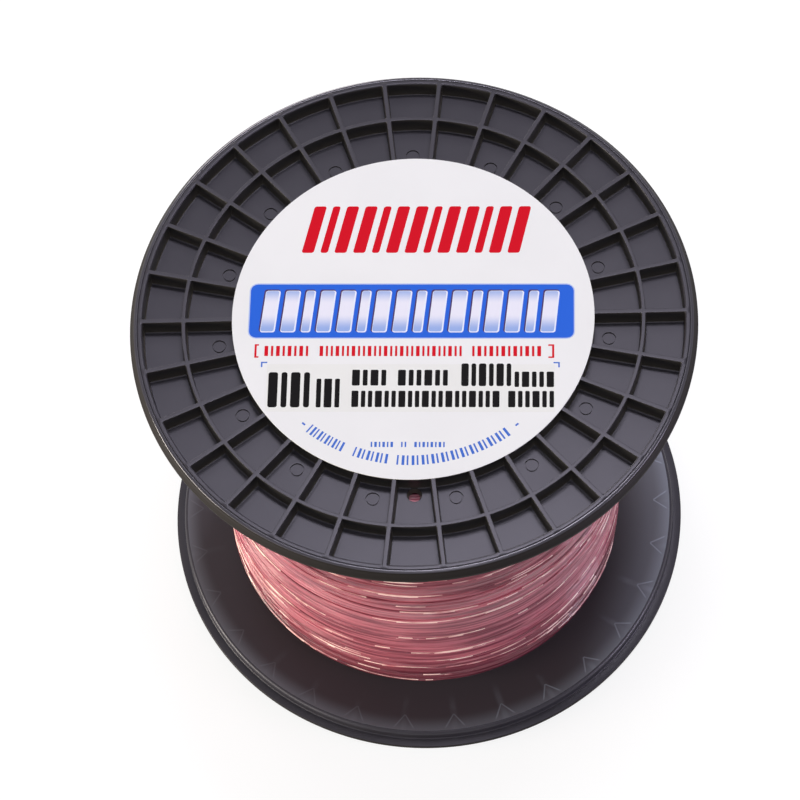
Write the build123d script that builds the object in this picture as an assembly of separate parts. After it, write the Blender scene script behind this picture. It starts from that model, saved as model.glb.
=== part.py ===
"""Bulk spool of fishing line: a moulded spool with waffle-ribbed flanges, its wound line and its label.

The origin is the centre of the plane that the spool stands on, and +Z is the spool's axis.
All sizes are in millimetres.
"""
import os

from build123d import *

# Flanges
flange_d = 120.0            # over the rolled rim
flange_t = 5.6              # from the rib tops to the face that the line lies against
floor_t = 1.5               # plastic between the pockets and that face
rib_count = 30              # radial ribs
rib_t = 0.9
ring_rib_d = 97.0           # centre line of the ring rib that crosses them
ring_rib_t = 0.78

# Rolled rim; its levels are measured down from the rib tops
rim_w = 2.73                # from the outermost pockets to the widest circle
land_w = 0.9                # flat land beside the pockets
groove_w = 0.2              # V groove between land and bead
groove_depth = 0.15
bead_w = 0.75               # from the groove to the bead's outer edge
bead_drop = 0.48            # from the groove down to that edge
bead_crown = 0.07           # bulge of the bead over the straight line between its edges
band_top_drop = 1.7         # the widest circle is a band between these two levels
band_foot_drop = 2.55
ledge_drop = 2.9            # ledge on the line side
ledge_w = 0.85              # its level part, before it slopes up to the band
step_wall_t = 0.7           # wall between the outermost pockets and the step on the line side
step_chamfer = 0.3          # broken edge of the line-side face

# Hub
winding_width = 90.0        # between the flanges
barrel_d = 76.0             # the drum that the line is wound on
barrel_wall_t = 1.8
bore_d = 16.0               # spindle bore
bore_lead_in = 0.5          # chamfer at both mouths
tube_wall_t = 2.0
web_count = 6
web_t = 1.6

# Hole for the start of the line, tangent to the drum
line_hole_d = 3.2
line_hole_clearance = 0.1   # between the hole and the drum
line_hole_angle = 270.0     # degrees from +X, midway between two ribs

# Wound line and label
line_depth = 7.3            # of the winding on the drum
label_lap = 0.2             # the label reaches this far past the drum
label_t = 0.15

# Levels and radii that follow from them
bottom_ribs = 0.0
bottom_face = bottom_ribs + flange_t
top_face = bottom_face + winding_width
top_ribs = top_face + flange_t
mid_height = (bottom_ribs + top_ribs) / 2
hub_length = top_ribs - bottom_ribs

flange_r = flange_d / 2
pocket_r = flange_r - rim_w
barrel_r = barrel_d / 2
barrel_inner_r = barrel_r - barrel_wall_t
bore_r = bore_d / 2
tube_r = bore_r + tube_wall_t


def inner_outline():
    """Rib side of the flange: drum wall, first row of pockets, ring rib, second row, rim wall."""
    ring_inner_r = (ring_rib_d - ring_rib_t) / 2
    ring_outer_r = (ring_rib_d + ring_rib_t) / 2
    floor = floor_t - flange_t
    return Polyline(
        (barrel_inner_r, -flange_t),
        (barrel_inner_r, 0),
        (barrel_r, 0),
        (barrel_r, floor),
        (ring_inner_r, floor),
        (ring_inner_r, 0),
        (ring_outer_r, 0),
        (ring_outer_r, floor),
        (pocket_r, floor),
        (pocket_r, 0),
    )


def rim_outline():
    """Rolled rim, from the flat land over groove, bead and widest band to the ledge."""
    land_end = pocket_r + land_w
    bead_start = land_end + groove_w
    bead_end = bead_start + bead_w
    land = Polyline(
        (pocket_r, 0),
        (land_end, 0),
        (land_end + groove_w / 2, -groove_depth),
        (bead_start, 0),
    )
    bead = SagittaArc((bead_start, 0), (bead_end, -bead_drop), bead_crown)
    side = Polyline(
        (bead_end, -bead_drop),
        (flange_r, -band_top_drop),
        (flange_r, -band_foot_drop),
        (pocket_r + step_wall_t + ledge_w, -ledge_drop),
    )
    return land + bead + side


def line_side_outline():
    """Line side of the flange: ledge, step up to the flat face, and the face back to the hub."""
    step_r = pocket_r + step_wall_t
    return Polyline(
        (step_r + ledge_w, -ledge_drop),
        (step_r, -ledge_drop),
        (step_r, step_chamfer - flange_t),
        (step_r - step_chamfer, -flange_t),
        (barrel_inner_r, -flange_t),
    )


def radial_ribs():
    """Radial ribs as bars that end inside the drum wall and inside the rim."""
    start = barrel_r - barrel_wall_t / 2
    end = pocket_r + land_w / 2
    depth = flange_t - floor_t / 2
    bar = Box(end - start, rib_t, depth, align=(Align.MIN, Align.CENTER, Align.MAX))
    return [turn * Pos(start, 0, 0) * bar for turn in PolarLocations(0, rib_count)]


def flange():
    """Upper flange with its rib tops at height 0."""
    outline = inner_outline() + rim_outline() + line_side_outline()
    disc = revolve(make_face(Plane.XZ * outline), Axis.Z)
    return disc + radial_ribs()


def upper_flange():
    hole_r = line_hole_d / 2
    hole_x = barrel_r + line_hole_clearance + hole_r
    hole = Pos(hole_x, 0, top_face + floor_t / 2) * Cylinder(hole_r, 2 * floor_t)
    return Pos(0, 0, top_ribs) * flange() - Rot(0, 0, line_hole_angle) * hole


def lower_flange():
    return Pos(0, 0, bottom_ribs) * mirror(flange(), Plane.XY)


def barrel():
    drum = Cylinder(barrel_r, winding_width) - Cylinder(barrel_inner_r, winding_width)
    return Pos(0, 0, mid_height) * drum


def spindle_tube():
    tube = Cylinder(tube_r, hub_length) - Cylinder(bore_r, hub_length)
    mouths = tube.edges().filter_by(GeomType.CIRCLE).sort_by(SortBy.RADIUS)[:2]
    return Pos(0, 0, mid_height) * chamfer(mouths, bore_lead_in)


def hub_webs():
    """Radial webs that carry the spindle tube in the drum and the flanges."""
    plate = Box(barrel_r, web_t, hub_length, align=(Align.MIN, Align.CENTER, Align.CENTER))
    plate = (plate & Cylinder(barrel_inner_r, hub_length)) - Cylinder(tube_r, hub_length)
    return [turn * Pos(0, 0, mid_height) * plate for turn in PolarLocations(0, web_count)]


def wound_line():
    """The line as wound: one closed ring from the drum to the outermost turns."""
    ring = Cylinder(barrel_r + line_depth, winding_width) - Cylinder(barrel_r, winding_width)
    return Pos(0, 0, mid_height) * ring


def label():
    disc = Cylinder(barrel_r + label_lap, label_t, align=(Align.CENTER, Align.CENTER, Align.MIN))
    return Pos(0, 0, top_ribs) * disc


def subparts():
    nodes = {
        "upper_flange": upper_flange(),
        "lower_flange": lower_flange(),
        "barrel": barrel(),
        "spindle_tube": spindle_tube(),
        "wound_line": wound_line(),
        "label": label(),
    }
    for number, web in enumerate(hub_webs(), start=1):
        nodes[f"hub_web_{number}"] = web
    return nodes


def main():
    os.makedirs("parts", exist_ok=True)
    for name, solid in subparts().items():
        export_step(solid, f"parts/{name}.step")
        print(f"{name}: {solid.volume:.1f} mm3, {len(solid.solids())} solid")


if __name__ == "__main__":
    main()
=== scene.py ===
# %% [markdown]
# # A bulk spool of fishing line
# The object is one black moulded spool with two ribbed flanges, a few hundred metres of pink
# line wound on its drum, and a round paper label over the hub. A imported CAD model, the frame,
# already holds every size and place. This lesson builds the surfaces that people see on it.

# %% Load the frame
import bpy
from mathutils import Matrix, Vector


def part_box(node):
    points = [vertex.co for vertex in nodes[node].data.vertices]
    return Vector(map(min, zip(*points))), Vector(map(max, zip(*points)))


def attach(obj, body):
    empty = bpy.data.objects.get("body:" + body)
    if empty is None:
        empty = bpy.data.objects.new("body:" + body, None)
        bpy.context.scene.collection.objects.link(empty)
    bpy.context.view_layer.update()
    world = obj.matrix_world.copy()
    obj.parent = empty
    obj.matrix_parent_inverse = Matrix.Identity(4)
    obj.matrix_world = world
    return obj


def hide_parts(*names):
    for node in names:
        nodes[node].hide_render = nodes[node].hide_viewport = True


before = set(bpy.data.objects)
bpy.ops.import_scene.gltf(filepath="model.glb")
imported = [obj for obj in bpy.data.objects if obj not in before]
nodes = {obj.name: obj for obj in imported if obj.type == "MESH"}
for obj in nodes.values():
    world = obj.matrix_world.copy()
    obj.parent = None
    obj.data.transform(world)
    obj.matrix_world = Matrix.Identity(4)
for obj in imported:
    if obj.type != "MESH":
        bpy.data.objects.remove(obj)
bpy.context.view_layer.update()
print("frame nodes:", ", ".join(sorted(nodes)))

# %% [markdown]
# ## Units and main sizes
# Blender works in metres and the spool is thought of in millimetres, so every typed size is
# multiplied by MM. Radii and levels that the CAD model already holds are read from its nodes
# instead of being typed again: the vertices of a round part lie exactly on its circles.

# %% Main sizes, read from the frame
import math

import bmesh
import bpy
import numpy as np
from mathutils import Matrix, Vector
from mathutils.geometry import delaunay_2d_cdt

MM = 0.001


def radii(name):
    """Smallest and largest distance of a node's vertices from the spool's axis."""
    distances = [math.hypot(v.co.x, v.co.y) for v in nodes[name].data.vertices]
    return min(distances), max(distances)


flange_r = radii("upper_flange")[1]
drum_inner_r, drum_r = radii("barrel")
bore_r, tube_r = radii("spindle_tube")
winding_r = radii("wound_line")[1]
label_r = radii("label")[1]
line_low, line_high = (corner.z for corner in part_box("wound_line"))
rib_tops, label_top = (corner.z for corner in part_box("label"))
flange_t = rib_tops - line_high
print(f"flange {2000 * flange_r:.1f} mm across, line wound to {2000 * winding_r:.1f} mm")

# %% [markdown]
# ## Camera
# The spool is seen from above and in front, by a long lens held a little askew. Aiming the
# camera with a track quaternion and then rolling it about its own axis keeps the three
# decisions apart: where it stands, what it looks at, and how far it leans.

# %% Camera
camera_place = Vector((20.86, -314.03, 691.96)) * MM
aim_point = Vector((-4.33, -0.24, 61.85)) * MM
camera_roll = math.radians(-5.28)
focal_length = 142.95       # in millimetres, on the 36 mm wide sensor

camera_data = bpy.data.cameras.new("camera")
camera_data.lens = focal_length
camera = bpy.data.objects.new("camera", camera_data)
bpy.context.scene.collection.objects.link(camera)
facing = (aim_point - camera_place).to_track_quat("-Z", "Y").to_matrix().to_4x4()
lean = Matrix.Rotation(camera_roll, 4, "Z")
camera.matrix_world = Matrix.Translation(camera_place) @ facing @ lean
bpy.context.scene.camera = camera
print("camera looks along", [round(-x, 4) for x in camera.matrix_world.col[2][:3]])

# %% [markdown]
# ## Working with shader nodes
# Every finish below is a small graph of nodes. The nodes could be placed by hand in the shader
# editor, but a script can be read line by line and gives the same graph each time. Small
# helpers keep the cells short. They add a node, fill its sockets, write one sum, split a
# vector, turn a value into a soft mask, make noise and mix two colours.

# %% Node helpers
def add_node(tree, kind, **settings):
    """Adds a node and sets its properties."""
    made = tree.nodes.new(kind)
    for name, value in settings.items():
        setattr(made, name, value)
    return made


def feed(tree, socket, value):
    """Links a socket to another, or sets its value."""
    if isinstance(value, bpy.types.NodeSocket):
        tree.links.new(value, socket)
    else:
        socket.default_value = value


def set_sockets(tree, node, **values):
    """Feeds several inputs of a node. An underscore stands for the space in a socket's name."""
    for name, value in values.items():
        feed(tree, node.inputs[name.replace("_", " ")], value)


def own_position(tree):
    """Each point's place in the object's own space."""
    return add_node(tree, "ShaderNodeTexCoord").outputs["Object"]


print("helpers for the shader nodes of Blender", bpy.app.version_string)

# %% Sums, masks and mixes
def calc(tree, operation, *values, clamp=False):
    """One Math node."""
    made = add_node(tree, "ShaderNodeMath", operation=operation, use_clamp=clamp)
    for socket, value in zip(made.inputs, values):
        feed(tree, socket, value)
    return made.outputs[0]


def split_axes(tree, vector):
    """The x, y and z of a vector."""
    made = add_node(tree, "ShaderNodeSeparateXYZ")
    feed(tree, made.inputs[0], vector)
    return made.outputs


def noise(tree, place, scale, detail=2.0):
    """Soft random values."""
    made = add_node(tree, "ShaderNodeTexNoise")
    set_sockets(tree, made, Vector=place, Scale=scale, Detail=detail)
    return made.outputs["Fac"]


def ramp_between(tree, value, low, high):
    """0 where value is at low, 1 where it is at high, and smooth between them."""
    made = add_node(tree, "ShaderNodeMapRange", interpolation_type="SMOOTHSTEP")
    for name, number in (("Value", value), ("From Min", low), ("From Max", high)):
        feed(tree, made.inputs[name], number)
    return made.outputs["Result"]


def mix_colour(tree, share, first, second):
    """A Mix node for colours."""
    made = add_node(tree, "ShaderNodeMix", data_type="RGBA")
    for index, value in ((0, share), (6, first), (7, second)):
        feed(tree, made.inputs[index], value)
    return made.outputs[2]

# %% [markdown]
# ## Groups, materials and colours
# A node group is a small graph with named inputs and outputs that several materials can share.
# A material starts from one Principled shader. Colours are typed as they look on a screen, from
# 0 to 255, and turned into the linear numbers that Blender mixes.

# %% Group, material and colour helpers
def new_group(name, inputs, outputs):
    """An empty shader node group, with its two end nodes. The outputs are plain numbers."""
    group = bpy.data.node_groups.new(name, "ShaderNodeTree")
    for label, kind, value in inputs:
        socket = group.interface.new_socket(name=label, in_out="INPUT", socket_type=kind)
        if value is not None:
            socket.default_value = value
    for label in outputs:
        group.interface.new_socket(name=label, in_out="OUTPUT", socket_type="NodeSocketFloat")
    start = group.nodes.new("NodeGroupInput")
    end = group.nodes.new("NodeGroupOutput")
    return group, start, end


def use_group(tree, group, **values):
    """Places a node group in a material and feeds its inputs."""
    made = add_node(tree, "ShaderNodeGroup", node_tree=group)
    set_sockets(tree, made, **values)
    return made


def new_material(name):
    """A material with an empty Principled shader, and its tree."""
    material = bpy.data.materials.new(name)
    material.use_nodes = True
    tree = material.node_tree
    return material, tree, tree.nodes["Principled BSDF"]


def srgb(red, green, blue):
    """A colour given as 0 to 255 on a screen, as Blender's linear numbers."""
    linear = []
    for part in (red, green, blue):
        share = part / 255
        linear.append(share / 12.92 if share <= 0.04045 else ((share + 0.055) / 1.055) ** 2.4)
    return (*linear, 1.0)


print("mid grey on a screen is", round(srgb(128, 128, 128)[0], 3), "in Blender")

# %% [markdown]
# ## White room
# The spool stands on a white table in a white room. Strong lamps on a white wall would give
# that background, but their light would spill on the spool and wash out the black. So the
# world shows its white only to rays that come from the camera, off something shiny or through
# something clear. All other rays meet a dim, slightly cool room.

# %% World
def seen_directly(tree):
    """1 for camera, glossy and transmission rays."""
    path = add_node(tree, "ShaderNodeLightPath")
    seen = calc(tree, "MAXIMUM", path.outputs["Is Camera Ray"], path.outputs["Is Glossy Ray"])
    return calc(tree, "MAXIMUM", seen, path.outputs["Is Transmission Ray"])


world = bpy.data.worlds.new("white_room")
bpy.context.scene.world = world
world.use_nodes = True
room = world.node_tree
room_fill = (0.93, 0.95, 1.0, 1.0)
fill_strength = 0.15
background = room.nodes["Background"]
room_colour = mix_colour(room, seen_directly(room), room_fill, (1, 1, 1, 1))
brightness = calc(room, "MULTIPLY_ADD", seen_directly(room), 1 - fill_strength, fill_strength)
set_sockets(room, background, Color=room_colour, Strength=brightness)
bpy.context.scene.view_settings.view_transform = "Standard"
print("room fill", fill_strength)

# %% [markdown]
# ## Table
# The table has to be white and still show the soft shadow of the spool. A white paint would be
# lit unevenly by the lamps. So the paint is a rough grey that takes the shadow, and a glow that
# only the camera and shiny surfaces see lifts it to white where no shadow falls.

# %% Table
table_half = 3.0
table_glow = 0.83
table_mesh = bpy.data.meshes.new("table")
table_corners = [(-1, -1), (1, -1), (1, 1), (-1, 1)]
table_points = [(x * table_half, y * table_half, 0) for x, y in table_corners]
table_mesh.from_pydata(table_points, [], [(0, 1, 2, 3)])
table = bpy.data.objects.new("table", table_mesh)
bpy.context.scene.collection.objects.link(table)

table_paint, tree, surface = new_material("white_table")
table_grey = srgb(122, 122, 124)
set_sockets(tree, surface, Base_Color=table_grey, Roughness=0.9, Specular_IOR_Level=0.0)
glow = add_node(tree, "ShaderNodeEmission")
feed(tree, glow.inputs["Strength"], calc(tree, "MULTIPLY", seen_directly(tree), table_glow))
both = add_node(tree, "ShaderNodeAddShader")
feed(tree, both.inputs[0], surface.outputs[0])
feed(tree, both.inputs[1], glow.outputs[0])
feed(tree, tree.nodes["Material Output"].inputs["Surface"], both.outputs[0])
table_mesh.materials.append(table_paint)
print("table", 2 * table_half, "m wide")

# %% [markdown]
# ## Lamps
# Black plastic has hardly any colour of its own, so what is seen of it is mostly the mirror
# image of lamps. One big lamp would light everything alike. Six area lamps with one job each
# can be turned up or down by themselves:
# - the overhead lamp is mirrored softly in the pocket floors
# - the strip lamp, over the front, lifts the label and the middle of the line
# - the left and edge lamps are low and warm, and give the line its peach side
# - the right lamp is low and cool, and gives the line its plum side
# - the back lamp fills the far side, which the others leave dark

# %% Lamps
def softbox(name, place, size, power, colour):
    """A rectangular area lamp, size wide and deep, that faces the spool."""
    lamp = bpy.data.lights.new(name, "AREA")
    lamp.shape = "RECTANGLE"
    lamp.size, lamp.size_y = size
    lamp.energy = power
    lamp.color = colour
    made = bpy.data.objects.new(name, lamp)
    bpy.context.scene.collection.objects.link(made)
    place = Vector(place)
    middle = Vector((0, 0, rib_tops / 2))
    turn = (middle - place).to_track_quat("-Z", "Y").to_matrix().to_4x4()
    made.matrix_world = Matrix.Translation(place) @ turn
    print(f"{name}: {power} W, {size[0]} by {size[1]} m")


softbox("overhead_lamp", (0.09, 0.25, 1.1), (0.42, 0.12), 6.6, (0.95, 0.94, 1.0))
softbox("strip_lamp", (0.05, -0.2, 1.1), (0.2, 0.8), 1.7, (0.97, 0.96, 1.0))
softbox("left_lamp", (-0.93, -0.24, 0.17), (0.5, 0.3), 13.5, (1.0, 0.94, 0.76))
softbox("edge_lamp", (-0.67, -0.69, 0.16), (0.36, 0.12), 3.3, (1.0, 0.94, 0.80))
softbox("right_lamp", (0.91, -0.28, 0.17), (0.4, 0.25), 5.6, (0.88, 0.83, 1.0))
softbox("back_lamp", (-0.35, 0.9, 0.2), (0.5, 0.3), 6.0, (1.0, 0.95, 0.93))

# %% [markdown]
# ## Where on the spool am I?
# Marks on a turned part are easiest to place by radius and by angle round the axis. They could
# be read from a texture map, but a round part would need a seam in it. This group works out
# radius, angle and height from the position instead. The plastic and its flow marks use it.

# %% Group: place on the spool
def make_place_group():
    group, start, end = new_group(
        "place_on_spool",
        [("Position", "NodeSocketVector", None)],
        ["Radius", "Angle", "Height"],
    )
    x, y, z = split_axes(group, start.outputs["Position"])
    squares = calc(group, "ADD", calc(group, "MULTIPLY", x, x), calc(group, "MULTIPLY", y, y))
    feed(group, end.inputs["Radius"], calc(group, "SQRT", squares))
    feed(group, end.inputs["Angle"], calc(group, "ARCTAN2", y, x))
    feed(group, end.inputs["Height"], z)
    return group


place_on_spool = make_place_group()
print("group", place_on_spool.name)

# %% [markdown]
# ## Grain
# Moulded plastic is never one even colour: the steel of the mould leaves a fine grain, and the
# melt leaves cloudy patches. Both are noise, at two scales. Paper is cloudy too, on a larger
# scale. So one group makes both, with their sizes as inputs, and both materials place it.

# %% Group: grain and clouds
def make_grain_group():
    group, start, end = new_group(
        "grain_and_clouds",
        [
            ("Position", "NodeSocketVector", None),
            ("Grain Size", "NodeSocketFloat", 0.3 * MM),
            ("Cloud Size", "NodeSocketFloat", 6 * MM),
        ],
        ["Grain", "Clouds"],
    )
    for size, output, detail in (("Grain Size", "Grain", 2.0), ("Cloud Size", "Clouds", 4.0)):
        scale = calc(group, "DIVIDE", 1.0, start.outputs[size])
        feed(group, end.inputs[output], noise(group, start.outputs["Position"], scale, detail))
    return group


grain_and_clouds = make_grain_group()
print("group", grain_and_clouds.name)

# %% [markdown]
# ## Where the plastic differs
# The spool is a tough plastic coloured with carbon black. It looks different in four areas, and
# could have four materials, but then every border would have to follow the edges of the mesh.
# One material with masks is simpler. It finds its area from the radius, the height and the
# slope of the surface:
# - walls: the sides of ribs and pockets, painted light, fading to painted shade near their top
# - scuffed: the upright side of the rim, dull as if rubbed by other spools in a carton
# - handled: the bead and top of the rim, smoother as if polished by hands
# - line side: the two faces towards the line, painted paler and warmer for its pink light

# %% Areas of the plastic
pocket_r = 57.27 * MM       # outer wall of the outermost pockets
bead_r = 58.3 * MM          # where the bead of the rim starts
hair = 0.01 * MM            # slack when two sizes are compared


def plastic_areas(tree, position):
    """Masks from 0 to 1. foot is 1 near the foot of a pocket wall and 0 near its top."""
    place = use_group(tree, place_on_spool, Position=position)
    radius, height = place.outputs["Radius"], place.outputs["Height"]
    facing = split_axes(tree, add_node(tree, "ShaderNodeNewGeometry").outputs["True Normal"])
    upright = ramp_between(tree, calc(tree, "ABSOLUTE", facing["Z"]), 0.75, 0.55)
    inner = calc(tree, "LESS_THAN", radius, pocket_r + hair)
    outer = calc(tree, "GREATER_THAN", radius, bead_r)
    above = calc(tree, "GREATER_THAN", height, line_low - hair)
    below = calc(tree, "LESS_THAN", height, line_high + hair)
    near_top = calc(tree, "GREATER_THAN", height, rib_tops - 1 * MM)
    near_table = calc(tree, "LESS_THAN", height, 1 * MM)
    rim_faces = calc(tree, "MULTIPLY", outer, calc(tree, "MAXIMUM", near_top, near_table))
    return {
        "walls": calc(tree, "MULTIPLY", inner, upright),
        "foot": ramp_between(tree, height, rib_tops - 0.8 * MM, rib_tops - 4 * MM),
        "scuffed": calc(tree, "MULTIPLY", outer, upright),
        "handled": calc(tree, "MULTIPLY", rim_faces, calc(tree, "SUBTRACT", 1.0, upright)),
        "line_side": calc(tree, "MULTIPLY", above, below),
    }


print(f"bead of the rim from radius {bead_r / MM:.1f} mm outward")

# %% [markdown]
# ## Black moulded plastic
# Carbon black gives a dark grey rather than black, and the matt mould gives a soft sheen. The
# sheen carries most of the look, so colour, shine and roughness all follow the areas. A faint
# bump of grain breaks up the mirrored lamps.

# %% Black plastic
dark_grey, cloud_grey = srgb(37, 35, 41), srgb(42, 40, 46)
painted_line_side_light = srgb(52, 48, 52)
painted_wall_shade, painted_wall_light = srgb(46, 44, 43), srgb(92, 87, 80)
scuffed_grey = srgb(36, 33, 31)
mark_and_sheen_grey = srgb(122, 129, 141)
cool_sheen = (0.9, 0.86, 1.0, 1.0)


def black_plastic(name, marks=None):
    """The moulded plastic. marks(tree, position) adds a paler tint and a height of its own."""
    material, tree, surface = new_material(name)
    position = own_position(tree)
    area = plastic_areas(tree, position)
    grain = use_group(tree, grain_and_clouds, Position=position)
    clouds = ramp_between(tree, grain.outputs["Clouds"], 0.3, 0.7)
    colour = mix_colour(tree, clouds, dark_grey, cloud_grey)
    # painted light: the line side is paler and warmer for the pink light of the line
    colour = mix_colour(tree, area["line_side"], colour, painted_line_side_light)
    # painted light on the walls, palest at their foot, with painted shade towards the top
    painted_wall_grey = mix_colour(tree, area["foot"], painted_wall_shade, painted_wall_light)
    colour = mix_colour(tree, area["walls"], colour, painted_wall_grey)
    colour = mix_colour(tree, area["scuffed"], colour, scuffed_grey)
    height = calc(tree, "MULTIPLY", grain.outputs["Grain"], 0.35)
    if marks:
        mark_and_sheen_tint, mark_height = marks(tree, position)
        # the tint holds real marks and painted sheen
        share = calc(tree, "MULTIPLY", mark_and_sheen_tint, area["line_side"])
        colour = mix_colour(tree, share, colour, mark_and_sheen_grey)
        height = calc(tree, "ADD", height, mark_height)
    shine = calc(tree, "MULTIPLY_ADD", area["handled"], 0.25, 0.32)
    shine = calc(tree, "MULTIPLY_ADD", area["scuffed"], -0.28, shine)
    roughness = calc(tree, "MULTIPLY_ADD", area["handled"], -0.15, 0.36)
    roughness = calc(tree, "MULTIPLY_ADD", area["scuffed"], 0.2, roughness)
    bump = add_node(tree, "ShaderNodeBump")
    set_sockets(tree, bump, Strength=0.35, Distance=0.04 * MM, Height=height)
    set_sockets(tree, surface, Base_Color=colour, Specular_IOR_Level=shine,
                Specular_Tint=cool_sheen, Roughness=roughness, Normal=bump.outputs["Normal"])
    return material


moulded_plastic = black_plastic("black_plastic")
print("material", moulded_plastic.name)

# %% [markdown]
# ## Flow marks and painted sheen
# The melt left marks on the side of the lower flange that faces the line: a patchy streak over
# each rib and a V between its end and the rim. They are a few hundredths of a millimetre deep,
# too fine for the mesh, so the material draws them with sums on radius and angle. Folding the
# angle at every rib draws one mark and repeats it thirty times. Their paler tint is partly
# painted sheen, painted clearer on the right side of the flange, where they catch the light. A
# paler band towards the rim is painted light, stronger on the right side.

# %% Flow marks
rib_count = 30
vee_tip_r = 53.4 * MM       # the V opens outward from here
vee_length = 3.6 * MM
vee_slope = 0.7             # sideways run for each step outward


def flow_marks_and_sheen(tree, position):
    """How much paler the marks and painted sheen make the line side, and how deep the marks are."""
    place = use_group(tree, place_on_spool, Position=position)
    aside = calc(tree, "PINGPONG", place.outputs["Angle"], math.pi / rib_count)
    aside = calc(tree, "MULTIPLY", aside, place.outputs["Radius"])
    along = calc(tree, "SUBTRACT", place.outputs["Radius"], vee_tip_r)
    leg = calc(tree, "SUBTRACT", aside, calc(tree, "MULTIPLY", along, vee_slope))
    vee = ramp_between(tree, calc(tree, "ABSOLUTE", leg), 0.3 * MM, 0.1 * MM)
    vee = calc(tree, "MULTIPLY", vee, calc(tree, "GREATER_THAN", along, 0.0))
    vee = calc(tree, "MULTIPLY", vee, ramp_between(tree, along, vee_length, vee_length - 1 * MM))
    streak = calc(tree, "MULTIPLY", ramp_between(tree, aside, 1.1 * MM, 0.2 * MM), 0.35)
    streak = calc(tree, "MULTIPLY", streak, ramp_between(tree, along, -6 * MM, -1 * MM))
    grain = use_group(tree, grain_and_clouds, Position=position, Cloud_Size=9 * MM)
    patchy = ramp_between(tree, grain.outputs["Clouds"], 0.42, 0.6)
    both = calc(tree, "MAXIMUM", vee, calc(tree, "MULTIPLY", streak, patchy))
    across = split_axes(tree, position)["X"]
    # painted sheen: the marks are drawn clearer on the right, where they catch the light
    sheen_side = ramp_between(tree, across, -30 * MM, 45 * MM)
    both = calc(tree, "MULTIPLY", both, calc(tree, "MULTIPLY_ADD", sheen_side, 0.75, 0.22))
    # painted light: a paler band towards the rim, stronger on the right side
    ring = calc(tree, "MULTIPLY", ramp_between(tree, along, 0, 5 * MM), 0.5)
    painted_right_light = ramp_between(tree, across, 28 * MM, 50 * MM)
    painted_right_light = calc(tree, "MULTIPLY", painted_right_light, ramp_between(tree, along, -9 * MM, 2 * MM))
    ring = calc(tree, "MULTIPLY_ADD", painted_right_light, 0.28, ring)
    tint = calc(tree, "MULTIPLY_ADD", both, 0.55, ring, clamp=True)
    return tint, calc(tree, "MULTIPLY", both, -1.5)


flow_plastic = black_plastic("black_plastic_flow", flow_marks_and_sheen)
print("material", flow_plastic.name)

# %% [markdown]
# ## Making a piece
# Each piece ends the same way: it joins the scene, takes its materials, rides on the spool's
# only body, and hides the CAD nodes it stands for. One helper does all of it, so that no piece
# is left without a body or a material.

# %% Piece helper
def new_piece(name, mesh, materials, replaced=()):
    """Puts a finished mesh in the scene as a piece of the object."""
    piece = bpy.data.objects.new(name, mesh)
    bpy.context.scene.collection.objects.link(piece)
    mesh.materials.clear()
    for material in materials:
        mesh.materials.append(material)
    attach(piece, "root")
    if replaced:
        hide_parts(*replaced)
    print(f"{name}: {len(mesh.polygons)} faces")
    return piece

# %% [markdown]
# ## Ribbed flange
# Each flange is a thin disc stiffened by 30 radial ribs, one ring rib and a rolled rim, all
# moulded with it. The pockets narrow a little towards their floor, so that the part leaves the
# mould, and every edge that the mould could not cut sharp is rounded.

# %% Flange sizes
rib_t = 0.9 * MM
floor_t = 1.5 * MM
ring_rib_inner_r = 48.11 * MM
ring_rib_outer_r = 48.89 * MM
draft = 0.07 * MM           # the pockets narrow by this much towards the floor
floor_rounding = 0.3 * MM
corner_rounding = 0.3 * MM
rim_rounding = 0.33 * MM
top_rounding = 0.12 * MM
pocket_steps = 8            # spans from rib to rib along a pocket
pocket_floor = floor_t - flange_t
print(f"pockets {-pocket_floor / MM:.1f} mm deep")

# %% [markdown]
# ## Rolled rim
# Outward from the pockets, the rim has a flat land, a fine V groove, a bead, a slope, the
# widest band, a ledge, and a rounded step to the line side. It is the same all the way round,
# so one outline of radius and height describes it, and the flange is woven through its points.

# %% Rim outline
def arc(centre, radius, start, end, steps):
    """Points on an arc of a section, as (radius, height), with its angles in degrees."""
    angles = np.radians(np.linspace(start, end, steps + 1))
    return [(centre[0] + radius * math.cos(a), centre[1] + radius * math.sin(a)) for a in angles]


def rim_outline():
    """The rolled rim, from its land to the line side. Heights count from the rib tops."""
    step_r = pocket_r + 0.7 * MM
    ledge = -2.9 * MM
    corner_r = 0.85 * MM
    foot_r = 0.25 * MM
    profile = [
        (58.15, 0.0), (58.21, -0.05), (58.27, -0.15), (58.33, -0.06), (58.42, -0.01), (58.6, -0.03),
        (58.78, -0.075), (58.94, -0.145), (59.07, -0.25), (59.15, -0.4), (59.21, -0.6),
        (59.96, -1.64), (60.0, -1.74), (60.0, -2.47), (59.93, -2.58), (59.8, -2.64), (58.85, -2.89),
    ]
    points = [(radius * MM, height * MM) for radius, height in profile]
    points += arc((step_r + foot_r, ledge - foot_r), foot_r, 90, 180, 4)
    points += arc((step_r - corner_r, corner_r - flange_t), corner_r, 0, -90, 7)
    return points


print(len(rim_outline()), "points on the rim")

# %% [markdown]
# ## Rounding the edges
# The feet of the ribs and the corners of the pockets are rounded more than the rib tops. A
# bevel for each would meet the others badly in the corners. One bevel rounds them all at once,
# with a weight on each edge that says how much of the full width it gets. The hole and the
# ejector marks are cut after it, and the shading is smoothed last.

# %% Edge weights
flat_angle = math.radians(35)   # edges flatter than this stay as they are


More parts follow.
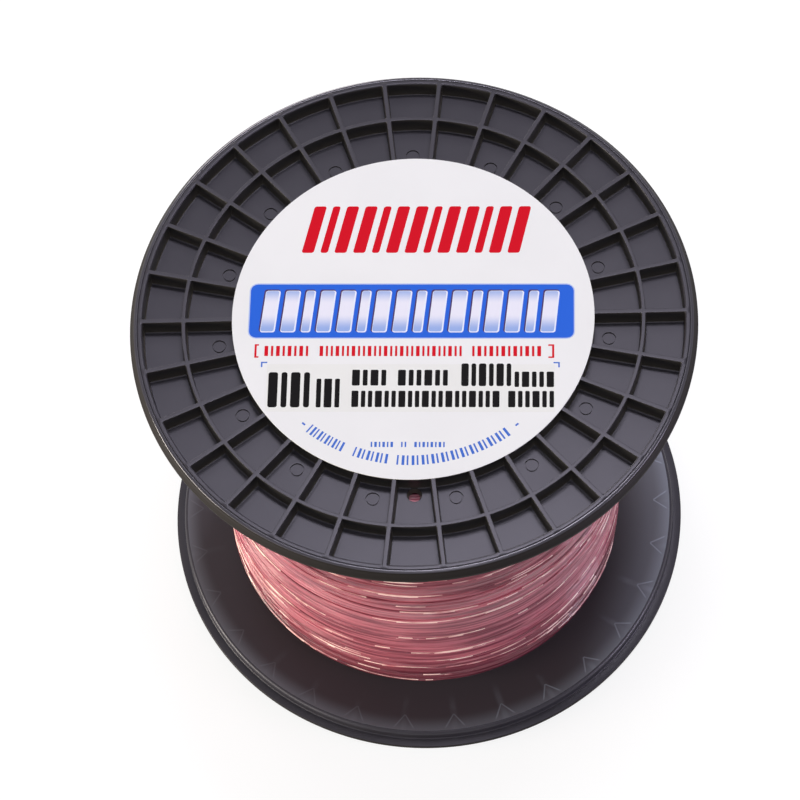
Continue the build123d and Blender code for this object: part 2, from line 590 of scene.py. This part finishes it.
def weigh_edges(weave, rib_level, floor_level):
    """Gives each edge of the pockets its share of the bevel."""
    weight = weave.edges.layers.float.new("bevel_weight_edge")
    for edge in weave.edges:
        reach = [v.co.xy.length for v in edge.verts]
        on_floor = [abs(v.co.z - floor_level) < hair for v in edge.verts]
        on_top = [abs(v.co.z - rib_level) < hair for v in edge.verts]
        if not all(f or t for f, t in zip(on_floor, on_top)) or max(reach) > pocket_r + hair:
            continue
        if edge.calc_face_angle(0) < flat_angle:
            continue
        if all(on_floor):
            rounding = floor_rounding
        elif not all(on_top):
            rounding = corner_rounding
        elif min(reach) > pocket_r - hair:
            rounding = rim_rounding
        else:
            rounding = top_rounding
        edge[weight] = rounding / floor_rounding


print(f"rounding at the floor {floor_rounding / MM:.2f} mm, at rib tops {top_rounding / MM:.2f} mm")

# %% Rounding and smoothing
def apply_modifiers(piece):
    """Replaces a piece's mesh with the result of its modifiers."""
    bpy.context.view_layer.update()
    evaluated = piece.evaluated_get(bpy.context.evaluated_depsgraph_get())
    result = bpy.data.meshes.new_from_object(evaluated)
    piece.modifiers.clear()
    piece.data = result


def round_edges(piece, width, segments):
    """Rounds the edges that carry a bevel weight."""
    bevel = piece.modifiers.new("rounding", "BEVEL")
    bevel.limit_method = "WEIGHT"
    bevel.width = width
    bevel.segments = segments
    apply_modifiers(piece)


def smooth_faces(piece):
    """Smooth shading that keeps large faces flat and sharp cuts sharp."""
    piece.data.shade_smooth()
    piece.data.set_sharp_from_angle(angle=math.radians(40))
    weighted = piece.modifiers.new("flat_faces", "WEIGHTED_NORMAL")
    weighted.keep_sharp = True
    apply_modifiers(piece)

# %% [markdown]
# ## Weaving the flange
# A disc with sixty pockets could be cut with booleans, but they leave a poor mesh. Here the
# flange is woven ring by ring instead: every circle has the same stations, nine to a pocket,
# and bands of quads join one circle to the next. A band may cover the whole circle, only the
# pockets, or only the ribs.

# %% Stations on a circle
def ring_angles(radius, half_rib):
    """Angles of the stations on one circle, from rib side to rib side in each pocket.

    The first and last steps are wide enough for the rounding at the foot of the ribs.
    """
    pitch = math.tau / rib_count
    edge = math.asin(half_rib / radius)
    inset = edge + 1.5 * floor_rounding / radius
    steps = [edge, *np.linspace(inset, pitch - inset, pocket_steps - 1), pitch - edge]
    return [sector * pitch + step for sector in range(rib_count) for step in steps]


print(len(ring_angles(pocket_r, rib_t / 2)), "stations on each circle")

# %% Flange mesh
def flange_mesh(name, rib_level, outward):
    """One flange with its rib tops at rib_level. outward is 1 for the upper, -1 for the lower."""
    weave = bmesh.new()
    stations = rib_count * (pocket_steps + 1)

    def circle(radius, height, narrowing=0.0):
        level = rib_level + outward * height
        angles = ring_angles(radius, rib_t / 2 + narrowing)
        places = [(radius * math.cos(a), radius * math.sin(a), level) for a in angles]
        return [weave.verts.new(place) for place in places]

    def band(first, second, on_pockets=True, on_ribs=True):
        for i in range(stations):
            on_rib = i % (pocket_steps + 1) == pocket_steps
            if on_ribs if on_rib else on_pockets:
                j = (i + 1) % stations
                weave.faces.new((first[i], first[j], second[j], second[i]))

    def pocket_row(inner_top, outer_top, inner_r, outer_r):
        inner = circle(inner_r + draft, pocket_floor, draft)
        outer = circle(outer_r - draft, pocket_floor, draft)
        for first, second in ((inner_top, inner), (inner, outer), (outer, outer_top)):
            band(first, second, on_ribs=False)
        band(inner_top, outer_top, on_pockets=False)
        for i in range(stations):
            if i % (pocket_steps + 1) in (0, pocket_steps):
                weave.faces.new((inner_top[i], inner[i], outer[i], outer_top[i]))

    hub_seam = circle(drum_inner_r, -flange_t)
    hub_edge = circle(drum_inner_r, 0)
    drum_edge = circle(drum_r, 0)
    ring_rib_inner = circle(ring_rib_inner_r, 0)
    ring_rib_outer = circle(ring_rib_outer_r, 0)
    rim_wall = circle(pocket_r, 0)
    band(hub_seam, hub_edge)
    band(hub_edge, drum_edge)
    pocket_row(drum_edge, ring_rib_inner, drum_r, ring_rib_inner_r)
    band(ring_rib_inner, ring_rib_outer)
    pocket_row(ring_rib_outer, rim_wall, ring_rib_outer_r, pocket_r)
    last = rim_wall
    for radius, height in rim_outline():
        ring = circle(radius, height)
        band(last, ring)
        last = ring
    band(last, hub_seam)
    bmesh.ops.recalc_face_normals(weave, faces=weave.faces)
    weigh_edges(weave, rib_level, rib_level + outward * pocket_floor)
    mesh = bpy.data.meshes.new(name)
    weave.to_mesh(mesh)
    weave.free()
    return mesh

# %% Both flanges
lower_ribs = line_low - flange_t
upper_flange = new_piece(
    "upper_flange_moulding", flange_mesh("upper_flange", rib_tops, 1),
    [moulded_plastic], ["upper_flange"],
)
lower_flange = new_piece(
    "lower_flange_moulding", flange_mesh("lower_flange", lower_ribs, -1),
    [flow_plastic], ["lower_flange"],
)
for flange in (upper_flange, lower_flange):
    round_edges(flange, floor_rounding, 4)
    print(flange.name, len(flange.data.polygons), "faces after rounding")

# %% [markdown]
# ## Holes and ejector marks
# One pocket of the upper flange has the small hole that takes the start of the line, tight
# against the drum. Every other pocket of the inner row has the print of an ejector pin, the
# rod that pushes the part out of its mould: a disc sunk a hair below the floor, with a fine
# groove round it. Cutting sixteen times would be slow, so sixteen turned shapes share one mesh
# and a single boolean cuts them all. Points that the cut leaves doubled are merged.

# %% Sizes of hole and marks
hole_r = 1.5 * MM
hole_foot_r = 1.15 * MM     # it narrows towards the line
hole_angle = math.radians(270)
hole_centre_r = drum_r + 1.75 * MM
pin_r = 1.5 * MM
pin_centre_r = 41.4 * MM
pin_depth = 0.05 * MM
pin_groove = 0.35 * MM      # depth of the groove round the print
pin_edge = 0.26 * MM        # and its width
hole_rounding = 0.12 * MM
print(f"start hole {2 * hole_r / MM:.1f} mm across, ejector pins {2 * pin_r / MM:.1f} mm")

# %% Cutter helpers
same_place = 0.002 * MM     # points closer than this are one point


def post(cutter, radius, angle, section, steps=48):
    """Adds a turned shape, standing on the flange, to the cutter. section is (radius, height)."""
    x, y = radius * math.cos(angle), radius * math.sin(angle)
    rows = []
    for step in range(steps):
        a = math.tau * step / steps
        places = [(x + r * math.cos(a), y + r * math.sin(a), z) for r, z in section]
        rows.append([cutter.verts.new(place) for place in places])
    for row, after in zip(rows, rows[1:] + rows[:1]):
        for k in range(len(section) - 1):
            cutter.faces.new((row[k], after[k], after[k + 1], row[k + 1]))
    for k in (0, -1):
        cutter.faces.new([row[k] for row in rows])


def merge_doubles(piece):
    """Joins points that a cut left on top of each other, and drops faces without area."""
    mend = bmesh.new()
    mend.from_mesh(piece.data)
    bmesh.ops.remove_doubles(mend, verts=mend.verts, dist=same_place)
    bmesh.ops.dissolve_degenerate(mend, edges=mend.edges, dist=same_place)
    mend.to_mesh(piece.data)
    mend.free()

# %% Cut the hole and the marks
cutter_mesh = bmesh.new()
floor_level = rib_tops + pocket_floor
above_floor = floor_level + 0.2 * MM
post(cutter_mesh, hole_centre_r, hole_angle, [
    (hole_foot_r, line_high - 1 * MM), (hole_foot_r, line_high),
    (hole_r, floor_level - hole_rounding), (hole_r + hole_rounding, floor_level),
    (hole_r + hole_rounding, above_floor),
])
for pocket in range(1, rib_count, 2):
    pin_angle = hole_angle + pocket * math.tau / rib_count
    post(cutter_mesh, pin_centre_r, pin_angle, [
        (pin_r - pin_edge, floor_level - pin_depth), (pin_r - pin_edge, floor_level - pin_groove),
        (pin_r, floor_level - pin_groove), (pin_r, above_floor),
    ])
bmesh.ops.recalc_face_normals(cutter_mesh, faces=cutter_mesh.faces)
cutter_data = bpy.data.meshes.new("cutter")
cutter_mesh.to_mesh(cutter_data)
cutter_mesh.free()
cutter = bpy.data.objects.new("cutter", cutter_data)
bpy.context.scene.collection.objects.link(cutter)
cut = upper_flange.modifiers.new("holes", "BOOLEAN")
cut.object = cutter
cut.solver = "EXACT"
apply_modifiers(upper_flange)
merge_doubles(upper_flange)
bpy.data.objects.remove(cutter)
for flange in (upper_flange, lower_flange):
    smooth_faces(flange)
    print(flange.name, len(flange.data.polygons), "faces")

# %% [markdown]
# ## Drum and spindle tube
# The line is wound on a drum, and a tube in its middle takes the spindle of a winder. Both
# are turned shapes. A screw modifier could sweep them, but a sweep in code gives the same
# clean rings and is reused for the bed of the winding. They show only from below, through the
# open hub. The six webs between them keep their CAD shape and get the plastic.

# %% Turned shapes
def turned_mesh(name, section, steps=180):
    """Sweeps a closed section of (radius, height) points once round the axis."""
    angles = np.linspace(0, math.tau, steps, endpoint=False)
    section = np.array(section)
    count = len(section)
    x = np.outer(np.cos(angles), section[:, 0])
    y = np.outer(np.sin(angles), section[:, 0])
    z = np.broadcast_to(section[:, 1], x.shape)
    points = np.stack([x, y, z], axis=-1).reshape(-1, 3)
    faces = []
    for i in range(steps):
        a, b = i * count, (i + 1) % steps * count
        faces += [(a + k, b + k, b + (k + 1) % count, a + (k + 1) % count) for k in range(count)]
    mesh = bpy.data.meshes.new(name)
    mesh.from_pydata(points.tolist(), [], faces)
    mesh.shade_smooth()
    mesh.set_sharp_from_angle(angle=math.radians(30))
    return mesh

# %% Drum, tube and webs
drum_section = [
    (drum_inner_r, line_low), (drum_r, line_low), (drum_r, line_high), (drum_inner_r, line_high),
]
new_piece("drum_wall", turned_mesh("drum_wall", drum_section), [moulded_plastic],
          ["barrel"])
lead_in = 0.5 * MM          # chamfer at both mouths of the bore
tube_section = [
    (bore_r + lead_in, lower_ribs), (tube_r, lower_ribs), (tube_r, rib_tops),
    (bore_r + lead_in, rib_tops), (bore_r, rib_tops - lead_in), (bore_r, lower_ribs + lead_in),
]
new_piece("spindle_sleeve", turned_mesh("spindle_sleeve", tube_section), [moulded_plastic],
          ["spindle_tube"])
web_names = sorted(name for name in nodes if name.startswith("hub_web_"))
for name in web_names:
    web = nodes[name]
    web.data.materials.clear()
    web.data.materials.append(moulded_plastic)
print("plastic on", ", ".join(web_names))

# %% [markdown]
# ## Wound line
# The line is clear pink filament, 0.61 mm thick. Light sinks in, scatters and comes out
# redder, so a plain colour looks like painted wire. Subsurface scattering gives the depth, a
# noise stretched along the strands gives the streaks, and the colour deepens near the flanges,
# where less light gets in between the turns.

# %% Line finish
shaded_plum = srgb(84, 30, 44)
streak_scale = (60, 60, 1300)   # fine across the strands, long along them


def pink_line(name, deep, pale, shading):
    """Clear pink filament. shading is how far its colour deepens near the two flanges."""
    material, tree, surface = new_material(name)
    position = own_position(tree)
    stretch = add_node(tree, "ShaderNodeMapping")
    set_sockets(tree, stretch, Vector=position, Scale=streak_scale)
    share = ramp_between(tree, noise(tree, stretch.outputs[0], 1.0), 0.35, 0.65)
    colour = mix_colour(tree, share, deep, pale)
    height = split_axes(tree, position)["Z"]
    near_top = ramp_between(tree, height, line_high - 52 * MM, line_high - 22 * MM)
    near_foot = ramp_between(tree, height, line_low + 16 * MM, line_low)
    shade = calc(tree, "MULTIPLY", calc(tree, "MAXIMUM", near_top, near_foot), shading)
    colour = mix_colour(tree, shade, colour, shaded_plum)
    shine = calc(tree, "MULTIPLY_ADD", near_top, -0.5, 0.6)
    set_sockets(tree, surface, Base_Color=colour, Roughness=0.2, Specular_IOR_Level=shine,
                Subsurface_Weight=0.5, Subsurface_Radius=(1.0, 0.6, 0.65),
                Subsurface_Scale=0.6 * MM)
    return material


line_finish = pink_line("pink_line", srgb(124, 50, 68), srgb(186, 98, 114), 0.8)
# painted light: a paler copy for the end turns, which little light reaches through the hole
painted_lit_finish = pink_line("pink_line_painted_lit", srgb(206, 120, 140), srgb(240, 180, 194), 0.0)
print("materials", line_finish.name, painted_lit_finish.name)

# %% [markdown]
# ## Painted bright runs
# Where a single strand lies proud it catches the lamps and shows a thin bright run that fades
# in and out. A sharper gloss on all strands would glitter everywhere. So the bright runs are
# painted highlights: a pale finish of their own, which only chosen faces of the loose
# strands get.

# %% Bright run finish
def painted_line_glint():
    """A painted highlight: the thin bright run along a proud strand, fading in and out along it."""
    material, tree, surface = new_material("painted_line_glint")
    share = ramp_between(tree, noise(tree, own_position(tree), 150), 0.34, 0.6)
    colour = mix_colour(tree, share, srgb(182, 98, 110), srgb(250, 212, 208))
    set_sockets(tree, surface, Base_Color=colour, Roughness=0.15)
    return material


painted_glint_finish = painted_line_glint()
print("material", painted_glint_finish.name)

# %% [markdown]
# ## Strands
# Modelling all 457 m of line would be wasteful, because only the outer turns show. So the
# winding is a plain bed, one packed layer of turns that hides it, and loose lengths on top.
# Curve objects with a round bevel could make the strands. Tubes built from arrays are faster
# for so many turns, and each face keeps a known number, which the bright runs need. A seeded
# random generator makes the strands waver and gives the same winding every time.

# %% Waver and bulge
line_t = 0.61 * MM
winding_h = line_high - line_low
full_side = math.pi         # the winding is fullest on the left
full_depth = 1.25 * MM
rng = np.random.default_rng(24)


def slow_wave(count, knots, size):
    """Smooth random values: knots spread over count samples, joined by cosine easing."""
    values = rng.uniform(-size, size, knots + 1)
    at = np.linspace(0, knots, count)
    low = np.minimum(at.astype(int), knots - 1)
    ease = (1 - np.cos(math.pi * (at - low))) / 2
    return values[low] * (1 - ease) + values[low + 1] * ease


def fullness(angle, height):
    """How far the winding bulges: turns piled up a little on one side, most of all low down."""
    side = np.maximum(0, np.cos(angle - full_side)) ** 2
    low = np.clip((line_high - height) / winding_h, 0, 1)
    return full_depth * side * low * low * (3 - 2 * low)


print(int(winding_h / line_t), "turns would fit between the flanges")

# %% Strand mesh
def tube_mesh(name, paths, sides=6, glints=()):
    """One mesh of round strands. Each path is three equal arrays: angle, radius and height.

    glints holds, for each path, the stretches (first step, last step) of its bright runs. The
    faces returned with the mesh follow them, one wide at both ends and two wide between.
    """
    turn = np.linspace(0, math.tau, sides, endpoint=False)
    points, faces, base, bright = [], [], 0, []
    for number, (angle, radius, height) in enumerate(paths):
        r = radius[:, None] + line_t / 2 * np.cos(turn)
        z = height[:, None] + line_t / 2 * np.sin(turn)
        x, y = r * np.cos(angle)[:, None], r * np.sin(angle)[:, None]
        points.append(np.stack([x, y, z], axis=-1).reshape(-1, 3))
        steps = len(angle) - 1
        i = (np.arange(steps) * sides)[:, None]
        k = np.arange(sides)[None, :]
        after = (k + 1) % sides
        corners = [i + k, i + after, i + sides + after, i + sides + k]
        quads = np.stack(corners, axis=-1).reshape(-1, 4)
        for first, last in glints[number] if glints else ():
            bright += [len(faces) + step * sides + 1 for step in range(first, last)]
            bright += [len(faces) + step * sides for step in range(first + 3, last - 3)]
        faces += (quads + base).tolist()
        end = base + steps * sides
        faces += [list(range(base, base + sides))[::-1], list(range(end, end + sides))]
        base += len(points[-1])
    mesh = bpy.data.meshes.new(name)
    mesh.from_pydata(np.concatenate(points).tolist(), [], faces)
    mesh.shade_smooth()
    return mesh, bright

# %% [markdown]
# ## Packed layer
# The outer layer is one helix from flange to flange. Perfect turns would look machined, so
# height and radius waver a little, and low on the left side the turns bulge by up to 1.25 mm.
# The helix is cut in three pieces of about equal length to keep each mesh small.

# %% Packed layer
turn_steps = 120
turns = int(winding_h / line_t) - 1
proud = 0.34 * MM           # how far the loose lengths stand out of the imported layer
packed_r = winding_r - line_t / 2 - proud
sample_count = turns * turn_steps + 1
helix_angle = np.linspace(0, math.tau * turns, sample_count)
helix_height = np.linspace(line_low + line_t / 2, line_high - line_t / 2, sample_count)
helix_height = helix_height + slow_wave(sample_count, turns * 4, 0.12 * MM)
helix_height = np.clip(helix_height, line_low + line_t / 2, line_high - line_t / 2)
helix_radius = packed_r - 0.05 * MM + slow_wave(sample_count, turns * 5, 0.09 * MM)
helix_radius = helix_radius + fullness(helix_angle, helix_height)
pieces_of_line = 3
cuts = np.linspace(0, turns, pieces_of_line + 1).astype(int) * turn_steps
for number, (start, end) in enumerate(zip(cuts[:-1], cuts[1:]), start=1):
    part = slice(start, end + 1)
    turns_path = (helix_angle[part], helix_radius[part], helix_height[part])
    mesh, _ = tube_mesh(f"line_turns_{number}", [turns_path])
    new_piece(f"line_turns_{number}", mesh, [line_finish])

# %% [markdown]
# ## Loose lengths
# Packed strands hide each other's tops, so the bright runs of a real winding come only from
# lengths that climb out of the layer, run a little askew and dive back in. Each loose length
# gets a random place, reach and slant, eased ends that sink into the layer, and up to five
# bright runs, painted highlights, on its upper outer side.

# %% Loose lengths
loose_count = 150
dive = 0.25 * MM            # the ends sink this far into the layer
loose_paths, loose_glints = [], []
for number in range(loose_count):
    length = math.radians(rng.uniform(35, 190))
    count = int(length / math.radians(2.5)) + 8
    angle = rng.uniform(0, math.tau) + np.linspace(0, length, count)
    middle = rng.uniform(line_low + line_t, line_high - line_t)
    climb = rng.normal(0, 1.1 * MM) * np.linspace(-1, 1, count)
    height = middle + climb + slow_wave(count, 5, 0.15 * MM)
    height = np.clip(height, line_low + line_t / 2, line_high - line_t / 2)
    ends = np.minimum(1, np.minimum(np.arange(count), np.arange(count)[::-1]) / 6)
    lift = proud * rng.uniform(0.45, 1.0) * ends * ends * (3 - 2 * ends)
    radius = packed_r - dive * (1 - ends) + lift - 0.04 * MM + slow_wave(count, 6, 0.04 * MM)
    radius = np.minimum(radius, winding_r - line_t / 2) + fullness(angle, height)
    loose_paths.append((angle, radius, height))
    stretches = []
    for _ in range(rng.integers(1, 6)):
        first = int(rng.integers(5, count - 6))
        stretches.append((first, min(count - 6, first + int(rng.integers(3, 12)))))
    loose_glints.append(stretches)
loose_mesh, painted_glint_faces = tube_mesh("line_loose", loose_paths, sides=8, glints=loose_glints)
loose_piece = new_piece("line_loose", loose_mesh, [line_finish, painted_glint_finish])
# painted highlights: these faces take the pale glint finish
for index in painted_glint_faces:
    loose_piece.data.polygons[index].material_index = 1

# %% [markdown]
# ## Bed and end turns
# Under the strands lies a bed, a turned shape that stands for all the inner turns and stops
# light between the strands. At its upper end a flat spiral of turns shows through the start
# hole. Its finish is a paler copy of the line's, painted light for the little light that
# reaches it there.

# %% Bed and end turns
bed_r = packed_r + 0.18 * MM    # fills the grooves between strands
end_gap = 0.7 * MM          # the last turns sit a little below the flange
bed_top = line_high - line_t - end_gap
bed_side = [(bed_r, level) for level in np.linspace(line_low, bed_top, 24)]
bed_section = [(drum_r, line_low), *bed_side, (drum_r, bed_top)]
bed_mesh = turned_mesh("line_bed", bed_section)
for vertex in bed_mesh.vertices:
    x, y, z = vertex.co
    reach = math.hypot(x, y)
    if reach > drum_r + hair:
        vertex.co.xy *= 1 + fullness(math.atan2(y, x), z) / reach
new_piece("line_bed", bed_mesh, [line_finish], ["wound_line"])
end_turns = int((packed_r - drum_r) / line_t)
end_angle = np.linspace(0, math.tau * end_turns, turn_steps * end_turns + 1)
end_pitch = 1.02 * line_t   # neighbouring turns all but touch
end_radius = drum_r + line_t / 2 + end_pitch * end_angle / math.tau
end_level = np.full(len(end_angle), bed_top + line_t / 2)
end_spiral = [(end_angle, end_radius, end_level)]
new_piece("line_end_turns", tube_mesh("line_end_turns", end_spiral)[0], [painted_lit_finish])

# %% [markdown]
# ## Inks
# The label is a disc of coated paper with a second, slightly greyer patch, printed in eight
# inks. Thin ink sinks into the paper and hardly shines, so each ink is a colour with almost no
# gloss. Only the silver one fades, from pale to blue, and the paper has faint clouds.

# %% Ink helpers
ink_shine = 0.03
label_turn = math.radians(-1.4)     # the label is stuck on slightly askew
label_centre = (0.0, -0.12)         # in millimetres


def ink(name, colour):
    """One printing ink of an even colour."""
    material, tree, surface = new_material(name)
    set_sockets(tree, surface, Base_Color=colour, Roughness=0.42, Specular_IOR_Level=ink_shine)
    return material


def silver_ink(name, pale, deep, centre, reach):
    """An ink that fades from pale at one level of the label to deep above and below it."""
    material, tree, surface = new_material(name)
    x, y, _ = split_axes(tree, own_position(tree))
    level = calc(tree, "MULTIPLY_ADD", x, -math.tan(label_turn), y)
    away = calc(tree, "ABSOLUTE", calc(tree, "SUBTRACT", level, centre))
    colour = mix_colour(tree, ramp_between(tree, away, 0.25 * reach, reach), pale, deep)
    set_sockets(tree, surface, Base_Color=colour, Roughness=0.35, Specular_IOR_Level=ink_shine)
    return material


def paper_stock(name, pale, deep):
    """Coated paper with faint clouds."""
    material, tree, surface = new_material(name)
    position = own_position(tree)
    grain = use_group(tree, grain_and_clouds, Position=position, Cloud_Size=14 * MM)
    clouds = ramp_between(tree, grain.outputs["Clouds"], 0.35, 0.65)
    colour = mix_colour(tree, clouds, pale, deep)
    set_sockets(tree, surface, Base_Color=colour, Roughness=0.45, Specular_IOR_Level=ink_shine)
    return material

# %% Inks and papers
inks = {
    "paper": paper_stock("label_paper", srgb(230, 229, 230), srgb(228, 227, 228)),
    "patch": paper_stock("label_patch", srgb(227, 226, 224), srgb(225, 224, 222)),
    "red": ink("red_ink", srgb(204, 15, 35)),
    "blue": ink("blue_ink", srgb(43, 98, 210)),
    "keyline": ink("pale_blue_ink", srgb(176, 190, 228)),
    "shadow": ink("maroon_ink", srgb(76, 58, 100)),
    "light": ink("white_ink", srgb(226, 228, 244)),
    "silver": silver_ink(
        "silver_blue_ink", srgb(226, 224, 238), srgb(148, 170, 222), 1.5 * MM, 4.9 * MM,
    ),
    "black": ink("black_ink", srgb(17, 15, 17)),
    "navy": ink("navy_ink", srgb(66, 108, 198)),
}
print(len(inks), "inks and papers")

# %% [markdown]
# ## Printed shapes
# The print is plain blocks and bars, so that no maker is named. Each shape is an outline in
# millimetres on the label, with the name of its ink. Two helpers draw nearly all of it: one
# rectangle that may be rounded or slanted, and one row of bars fitted between two ends.

# %% Shape helpers
shapes = []                 # (ink name, outline in mm on the label), in printing order


def block(ink_name, left, low, right, high, round_r=0.0, slant=0.0):
    """A rectangle on the label with rounded corners, leaning by slant mm for each mm of height."""
    corners = [(right, high, 0), (left, high, 90), (left, low, 180), (right, low, 270)]
    outline = []
    for x, y, start in corners:
        if round_r == 0:
            outline.append((x, y))
            continue
        cx = x - round_r if x == right else x + round_r
        cy = y - round_r if y == high else y + round_r
        outline += arc((cx, cy), round_r, start, start + 90, 4)
    middle = (low + high) / 2
    shapes.append((ink_name, [(x + slant * (y - middle), y) for x, y in outline]))


def bar_row(ink_name, left, right, low, high, widths, gap, **shape):
    """A row of bars. Widths and the gap are in any one unit, and the row is scaled to fit.

    A width of 0 leaves a wider gap, like the space between two words.
    """
    unit = (right - left) / (sum(widths) + gap * (len(widths) - 1 + 2 * widths.count(0)))
    x = left
    for width in widths:
        if width:
            block(ink_name, x, low, x + width * unit, high, **shape)
        else:
            x += 2 * gap * unit
        x += (width + gap) * unit

# %% Upper print
wide, thin = 1.6, 1.0
block("patch", -30.3, -22.6, 29.9, -11.5)
heading = [wide, thin, wide, wide, thin, wide] * 2 + [wide]
bar_row("red", -22.8, 23.6, 15.1, 26.5, heading, 0.85, round_r=0.5, slant=0.22)
block("keyline", -34.7, -5.5, 34.1, 7.7, round_r=1.75)
block("blue", -34.45, -5.25, 33.85, 7.45, round_r=1.5)
x = -31.6
for width in (2.7, 2.7, 1.6) * 5 + (2.7,):
    block("shadow", x - 0.4, -3.85, x + width + 0.25, 6.25, round_r=0.5, slant=0.1)
    block("light", x - 0.1, -4.0, x + width + 0.35, 5.95, round_r=0.5, slant=0.1)
    block("silver", x, -3.75, x + width + 0.05, 5.85, round_r=0.4, slant=0.1)
    x += width + 1.6
print(len(shapes), "shapes down to the blue band")

# %% Small print
bar_row("red", -31.0, -21.8, -9.6, -7.2, [wide, thin] * 4, 1.2)
bar_row("red", -19.4, 10.4, -9.6, -7.2, [wide, thin, thin] * 9, 1.2)
bar_row("red", 12.6, 27.0, -9.6, -7.2, [thin, wide] * 6, 1.2)
for side, foot in ((-33.1, -32.3), (29.3, 28.5)):
    block("red", min(side, side + 0.45), -10.0, max(side, side + 0.45), -6.8)
    for level in (-10.0, -7.15):
        block("red", min(side, foot), level, max(side, foot) + 0.1, level + 0.35)
for corner, reach in ((-31.6, 1.3), (30.9, -1.3)):
    block("navy", min(corner, corner + reach), -11.25, max(corner, corner + reach), -10.95)
    block("navy", min(corner, corner + reach / 4), -12.2, max(corner, corner + reach / 4), -11.25)
bar_row("black", -29.9, -21.2, -21.6, -13.4, [wide, thin, wide, thin], 0.6, round_r=0.5)
bar_row("black", -19.8, -14.9, -21.6, -14.9, [thin, wide, thin], 0.6, round_r=0.25)
two_words = [wide, thin] * 2 + [0] + [wide, thin, thin] * 2
bar_row("black", -12.4, 7.6, -16.5, -12.8, two_words, 0.6, round_r=0.25)
bar_row("black", 10.4, 20.8, -16.6, -11.3, [wide, thin] * 3, 0.6, round_r=0.4)
bar_row("black", 21.5, 29.7, -16.8, -13.2, [thin, wide, thin, thin, wide], 0.6, round_r=0.25)
bar_row("black", -12.4, 18.4, -21.5, -17.7, [wide, thin, thin] * 6 + [wide], 0.6, round_r=0.25)
bar_row("black", 20.2, 29.7, -21.5, -17.7, [wide, thin, thin] * 2, 0.6, round_r=0.25)
three_words = [thin, wide] * 3 + [0] + [thin] * 2 + [0] + [wide, thin] * 4
bar_row("navy", -8.1, 7.2, -30.7, -29.5, three_words, 1.3)
print(len(shapes), "shapes with the small print")

# %% Curved row
curve_r = 33.7
curve_words = [(231.5, 246.5, 5), (250.0, 263.0, 4), (265.5, 307.5, 12)]
for start, end, count in curve_words:
    pitch = (end - start) / (2 * count)
    for k in range(2 * count):
        first, last = start + pitch * k, start + pitch * (k + 0.36 + 0.2 * (k % 2))
        outer_side = arc((0, 0), curve_r + 1.1, first, last, 2)
        shapes.append(("navy", outer_side + arc((0, 0), curve_r - 1.1, last, first, 2)))
for start in (228.2, 310.2):
    shapes.append(("navy", arc((0, 0), curve_r + 0.2, start, start + 1.4, 1)
                   + arc((0, 0), curve_r - 0.2, start + 1.4, start, 1)))
print(len(shapes), "printed shapes")

# %% [markdown]
# ## Label mesh
# Print could be an image texture, but ink with edges of its own stays sharp at any distance. So
# the top of the label is one flat mesh, cut along the outline of every shape: a constrained
# triangulation takes all outlines at once and tells which shapes each triangle lies in. The
# shapes are in printing order, and the last one over a triangle gives it its ink.

# %% Label mesh
def label_mesh(name):
    """The label: a printed face cut along every outline, a bare back and a thin edge.

    Returned with the mesh is the name of the ink on each printed face.
    """
    rim_steps = 240
    rim = arc((0, 0), label_r / MM, 0, 360, rim_steps)[:-1]
    turn, cx, cy = label_turn, *label_centre
    points, loops = [Vector(p) for p in rim], [list(range(rim_steps))]
    for _, outline in shapes:
        first = len(points)
        for u, v in outline:
            x = cx + u * math.cos(turn) - v * math.sin(turn)
            y = cy + u * math.sin(turn) + v * math.cos(turn)
            points.append(Vector((x, y)))
        loops.append(list(range(first, len(points))))
    flat, _, faces, origin, _, layers = delaunay_2d_cdt(points, [], loops, 1, 1e-5)
    count = len(flat)
    place = {source: i for i, sources in enumerate(origin) for source in sources}
    edge = [place[i] for i in range(rim_steps)]
    top = [(p.x * MM, p.y * MM, label_top) for p in flat]
    back = [(x, y, rib_tops) for x, y, z in top]
    skirt = [(a + count, b + count, b, a) for a, b in zip(edge, edge[1:] + edge[:1])]
    mesh = bpy.data.meshes.new(name)
    front_faces = [tuple(face) for face in faces]
    back_faces = [tuple(i + count for i in face[::-1]) for face in faces]
    mesh.from_pydata(top + back, [], front_faces + back_faces + skirt)
    printing_order = ["paper"] + [ink_name for ink_name, _ in shapes]
    return mesh, [printing_order[max(layer)] for layer in layers]


label_disc, face_inks = label_mesh("label_disc")
new_piece("label_disc", label_disc, inks.values(), ["label"])
ink_names = list(inks)
for face, ink_name in zip(label_disc.polygons, face_inks):
    face.material_index = ink_names.index(ink_name)
print(len(face_inks), "printed faces")
